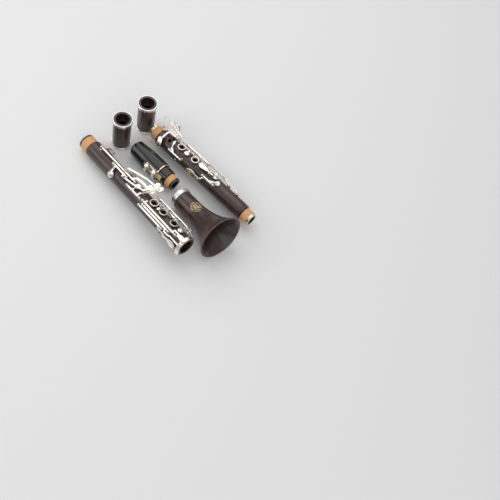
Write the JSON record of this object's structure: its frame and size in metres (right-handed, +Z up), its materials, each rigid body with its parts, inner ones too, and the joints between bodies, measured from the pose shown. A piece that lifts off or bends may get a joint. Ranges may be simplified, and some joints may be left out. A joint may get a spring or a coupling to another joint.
{
  "type": "clarinet",
  "caption": "B flat clarinet taken apart: capped mouthpiece, spare and main barrels, keyed upper and lower joints with working keys, and a flared bell.",
  "frame": {"origin": "centre of the layout's bounding box, on the table it lies on", "axes": "+X from the bell ends of the joints towards their mouthpiece ends, +Z up, right-handed"},
  "size_m": [0.2908, 0.1769, 0.0774],
  "materials": {
    "grenadilla": "oiled dark grenadilla",
    "silver_plate": "polished silver plate",
    "ring_metal": "satin silver with a fine grain",
    "tip_metal": "pale satin tip ring",
    "cork": "sanded cork",
    "pad_skin": "skin over felt",
    "ebonite": "polished black ebonite",
    "cane": "plain cane",
    "gold_line": "pale polished rim",
    "steel": "blued or bright steel wire and rod"
  },
  "bodies": {
    "lower_section": {"lower_joint": "grenadilla", "bell_tenon_cork": "cork", "lower_socket_ring": "ring_metal", "lower_posts": "silver_plate", "lower_rods": "steel", "lower_springs": "steel", "thumb_rest": "silver_plate", "thumb_rest_screws": "steel"},
    "upper_section": {"upper_joint": "grenadilla", "middle_tenon_cork": "cork", "top_tenon_cork": "cork", "middle_tenon_tip": "tip_metal", "top_tenon_tip": "tip_metal", "thumb_and_register_tubes": "silver_plate", "upper_posts": "silver_plate", "upper_rods": "steel", "upper_springs": "steel"},
    "bell_section": {"bell": "grenadilla", "bell_ring": "ring_metal"},
    "mouthpiece_section": {"mouthpiece": "ebonite", "mouthpiece_cork": "cork", "reed": "cane", "ligature": "silver_plate"},
    "ligature_screw_tip": {"ligature_screw_tip": "silver_plate"},
    "ligature_screw_heel": {"ligature_screw_heel": "silver_plate"},
    "cap_section": {"mouthpiece_cap": "ebonite", "cap_rim": "gold_line"},
    "barrel_a_section": {"barrel_a": "grenadilla", "barrel_a_rings": "ring_metal"},
    "barrel_b_section": {"barrel_b": "grenadilla", "barrel_b_rings": "ring_metal"},
    "e_key": {"e_key": "silver_plate", "e_key_pad": "pad_skin"},
    "f_key": {"f_key": "silver_plate", "f_key_pad": "pad_skin"},
    "a_flat_key": {"a_flat_key": "silver_plate", "a_flat_key_pad": "pad_skin"},
    "f_sharp_key": {"f_sharp_key": "silver_plate", "f_sharp_key_pad": "pad_skin"},
    "lower_ring_key": {"lower_ring_key": "silver_plate", "lower_ring_key_pad": "pad_skin"},
    "b_natural_key": {"b_natural_key": "silver_plate"},
    "left_f_sharp_lever": {"left_f_sharp_lever": "silver_plate"},
    "left_f_lever": {"left_f_lever": "silver_plate"},
    "left_e_lever": {"left_e_lever": "silver_plate"},
    "upper_ring_key": {"upper_ring_key": "silver_plate", "upper_ring_key_pad": "pad_skin", "bridge_cork": "cork"},
    "c_sharp_key": {"c_sharp_key": "silver_plate", "c_sharp_key_pad": "pad_skin"},
    "e_flat_sliver_key": {"e_flat_sliver_key": "silver_plate"},
    "g_sharp_key": {"g_sharp_key": "silver_plate"},
    "thumb_ring_key": {"thumb_ring_key": "silver_plate"},
    "a_key": {"a_key": "silver_plate"},
    "register_key": {"register_key": "silver_plate"},
    "side_key_1": {"side_key_1": "silver_plate"},
    "side_key_2": {"side_key_2": "silver_plate"},
    "side_key_3": {"side_key_3": "silver_plate"},
    "side_key_4": {"side_key_4": "silver_plate"}
  },
  "joints": [
    {"name": "upper_lift", "type": "slide", "parent": "lower_section", "child": "upper_section", "axis": [0, 0, 1], "range_m": [0, 0.1]},
    {"name": "bell_lift", "type": "slide", "parent": "lower_section", "child": "bell_section", "axis": [0, 0, 1], "range_m": [0, 0.1]},
    {"name": "mouthpiece_lift", "type": "slide", "parent": "lower_section", "child": "mouthpiece_section", "axis": [0, 0, 1], "range_m": [0, 0.1]},
    {"name": "barrel_a_lift", "type": "slide", "parent": "lower_section", "child": "barrel_a_section", "axis": [0, 0, 1], "range_m": [0, 0.1]},
    {"name": "barrel_b_lift", "type": "slide", "parent": "lower_section", "child": "barrel_b_section", "axis": [0, 0, 1], "range_m": [0, 0.1]},
    {"name": "cap_pull", "type": "slide", "parent": "mouthpiece_section", "child": "cap_section", "axis": [-0.9999, -0.014, 0], "range_m": [0, 0.01]},
    {"name": "ligature_screw_tip_turn", "type": "hinge", "parent": "mouthpiece_section", "child": "ligature_screw_tip", "pos_m": [-0.04166, -0.01161, 0.01798], "axis": [0.0012, -0.0871, -0.9962], "range_deg": [-180, 180]},
    {"name": "ligature_screw_heel_turn", "type": "hinge", "parent": "mouthpiece_section", "child": "ligature_screw_heel", "pos_m": [-0.02466, -0.01137, 0.01798], "axis": [0.0012, -0.0871, -0.9962], "range_deg": [-180, 180]},
    {"name": "e_key_press", "type": "hinge", "parent": "lower_section", "child": "e_key", "pos_m": [-0.07592, -0.0503, 0.03848], "axis": [-0.9956, 0.0592, -0.0726], "range_deg": [0, 6.39], "stiffness_Nm_per_rad": 0.05, "springref_deg": -11.46},
    {"name": "f_key_press", "type": "hinge", "parent": "lower_section", "child": "f_key", "pos_m": [-0.0354, -0.0527, 0.04144], "axis": [-0.9956, 0.0592, -0.0726], "range_deg": [0, 6.16], "stiffness_Nm_per_rad": 0.05, "springref_deg": -11.46},
    {"name": "a_flat_key_press", "type": "hinge", "parent": "lower_section", "child": "a_flat_key", "pos_m": [-0.05365, -0.05679, 0.04047], "axis": [-0.9956, 0.0592, -0.0726], "range_deg": [0, 5.59], "stiffness_Nm_per_rad": 0.05, "springref_deg": -11.46},
    {"name": "f_sharp_key_press", "type": "hinge", "parent": "lower_section", "child": "f_sharp_key", "pos_m": [-0.01018, -0.06693, 0.04205], "axis": [-0.9956, 0.0592, -0.0726], "range_deg": [0, 7.32], "stiffness_Nm_per_rad": 0.05, "springref_deg": -11.46},
    {"name": "lower_ring_key_press", "type": "hinge", "parent": "lower_section", "child": "lower_ring_key", "pos_m": [0.05948, -0.04122, 0.03619], "axis": [0.9956, -0.0592, 0.0726], "range_deg": [0, 4.12], "stiffness_Nm_per_rad": 0.05, "springref_deg": -11.46},
    {"name": "b_natural_key_press", "type": "hinge", "parent": "lower_section", "child": "b_natural_key", "pos_m": [0.06278, -0.04834, 0.04023], "axis": [0.9956, -0.0592, 0.0726], "range_deg": [0, 5.87], "stiffness_Nm_per_rad": 0.05, "springref_deg": -11.46},
    {"name": "left_f_sharp_lever_press", "type": "hinge", "parent": "lower_section", "child": "left_f_sharp_lever", "pos_m": [0.05225, -0.06975, 0.04732], "axis": [-0.9956, 0.0592, -0.0726], "range_deg": [0, 9.8], "stiffness_Nm_per_rad": 0.02, "springref_deg": -11.46},
    {"name": "left_f_lever_press", "type": "hinge", "parent": "lower_section", "child": "left_f_lever", "pos_m": [0.04848, -0.07358, 0.04488], "axis": [0.9956, -0.0592, 0.0726], "range_deg": [0, 9.8], "stiffness_Nm_per_rad": 0.02, "springref_deg": -11.46},
    {"name": "left_e_lever_press", "type": "hinge", "parent": "lower_section", "child": "left_e_lever", "pos_m": [0.04003, -0.07656, 0.04127], "axis": [0.9956, -0.0592, 0.0726], "range_deg": [0, 9.8], "stiffness_Nm_per_rad": 0.02, "springref_deg": -11.46},
    {"name": "upper_ring_key_press", "type": "hinge", "parent": "upper_section", "child": "upper_ring_key", "pos_m": [-0.00594, 0.06711, 0.03398], "axis": [0.9996, 0.0279, 0], "range_deg": [0, 5.13], "stiffness_Nm_per_rad": 0.05, "springref_deg": -11.46},
    {"name": "c_sharp_key_press", "type": "hinge", "parent": "upper_section", "child": "c_sharp_key", "pos_m": [-0.05572, 0.05858, 0.03911], "axis": [0.9996, 0.0279, 0], "range_deg": [0, 5.98], "stiffness_Nm_per_rad": 0.05, "springref_deg": -11.46},
    {"name": "e_flat_sliver_key_press", "type": "hinge", "parent": "upper_section", "child": "e_flat_sliver_key", "pos_m": [-0.0271, 0.03695, 0.03261], "axis": [-0.9996, -0.0279, 0], "range_deg": [0, 6.75], "stiffness_Nm_per_rad": 0.05, "springref_deg": -11.46},
    {"name": "g_sharp_key_press", "type": "hinge", "parent": "upper_section", "child": "g_sharp_key", "pos_m": [0.04505, 0.04321, 0.03708], "axis": [0.9996, 0.0279, 0], "range_deg": [0, 8.49], "stiffness_Nm_per_rad": 0.05, "springref_deg": -11.46},
    {"name": "thumb_ring_key_press", "type": "hinge", "parent": "upper_section", "child": "thumb_ring_key", "pos_m": [0.00064, 0.06441, 0.00603], "axis": [-0.9996, -0.0279, 0], "range_deg": [0, 5.26], "stiffness_Nm_per_rad": 0.05, "springref_deg": -11.46},
    {"name": "a_key_press", "type": "hinge", "parent": "upper_section", "child": "a_key", "pos_m": [0.03792, 0.05489, 0.03925], "axis": [0.0279, -0.9972, 0.0698], "range_deg": [0, 6.97], "stiffness_Nm_per_rad": 0.05, "springref_deg": -11.46},
    {"name": "register_key_press", "type": "hinge", "parent": "upper_section", "child": "register_key", "pos_m": [0.04646, 0.05379, 0.0017], "axis": [-0.0279, 0.9996, 0], "range_deg": [0, 3.66], "stiffness_Nm_per_rad": 0.05, "springref_deg": -11.46},
    {"name": "side_key_1_press", "type": "hinge", "parent": "upper_section", "child": "side_key_1", "pos_m": [-0.04205, 0.07075, 0.015], "axis": [-0.0072, 0.2587, 0.9659], "range_deg": [0, 3.81], "stiffness_Nm_per_rad": 0.05, "springref_deg": -11.46},
    {"name": "side_key_2_press", "type": "hinge", "parent": "upper_section", "child": "side_key_2", "pos_m": [-0.0141, 0.0728, 0.02092], "axis": [0.001, -0.0349, 0.9994], "range_deg": [0, 3.04], "stiffness_Nm_per_rad": 0.05, "springref_deg": -11.46},
    {"name": "side_key_3_press", "type": "hinge", "parent": "upper_section", "child": "side_key_3", "pos_m": [0.04189, 0.07391, 0.02619], "axis": [0.0079, -0.2839, 0.9588], "range_deg": [0, 1.58], "stiffness_Nm_per_rad": 0.05, "springref_deg": -11.46},
    {"name": "side_key_4_press", "type": "hinge", "parent": "upper_section", "child": "side_key_4", "pos_m": [0.05495, 0.07212, 0.03107], "axis": [0.0144, -0.5148, 0.8572], "range_deg": [0, 1.23], "stiffness_Nm_per_rad": 0.05, "springref_deg": -11.46}
  ],
  "couplings": [
    {"joint": "left_e_lever_press", "follows": "e_key_press", "ratio": 1.5},
    {"joint": "left_f_lever_press", "follows": "f_key_press", "ratio": 1.5},
    {"joint": "left_f_sharp_lever_press", "follows": "f_sharp_key_press", "ratio": 1.3}
  ]
}
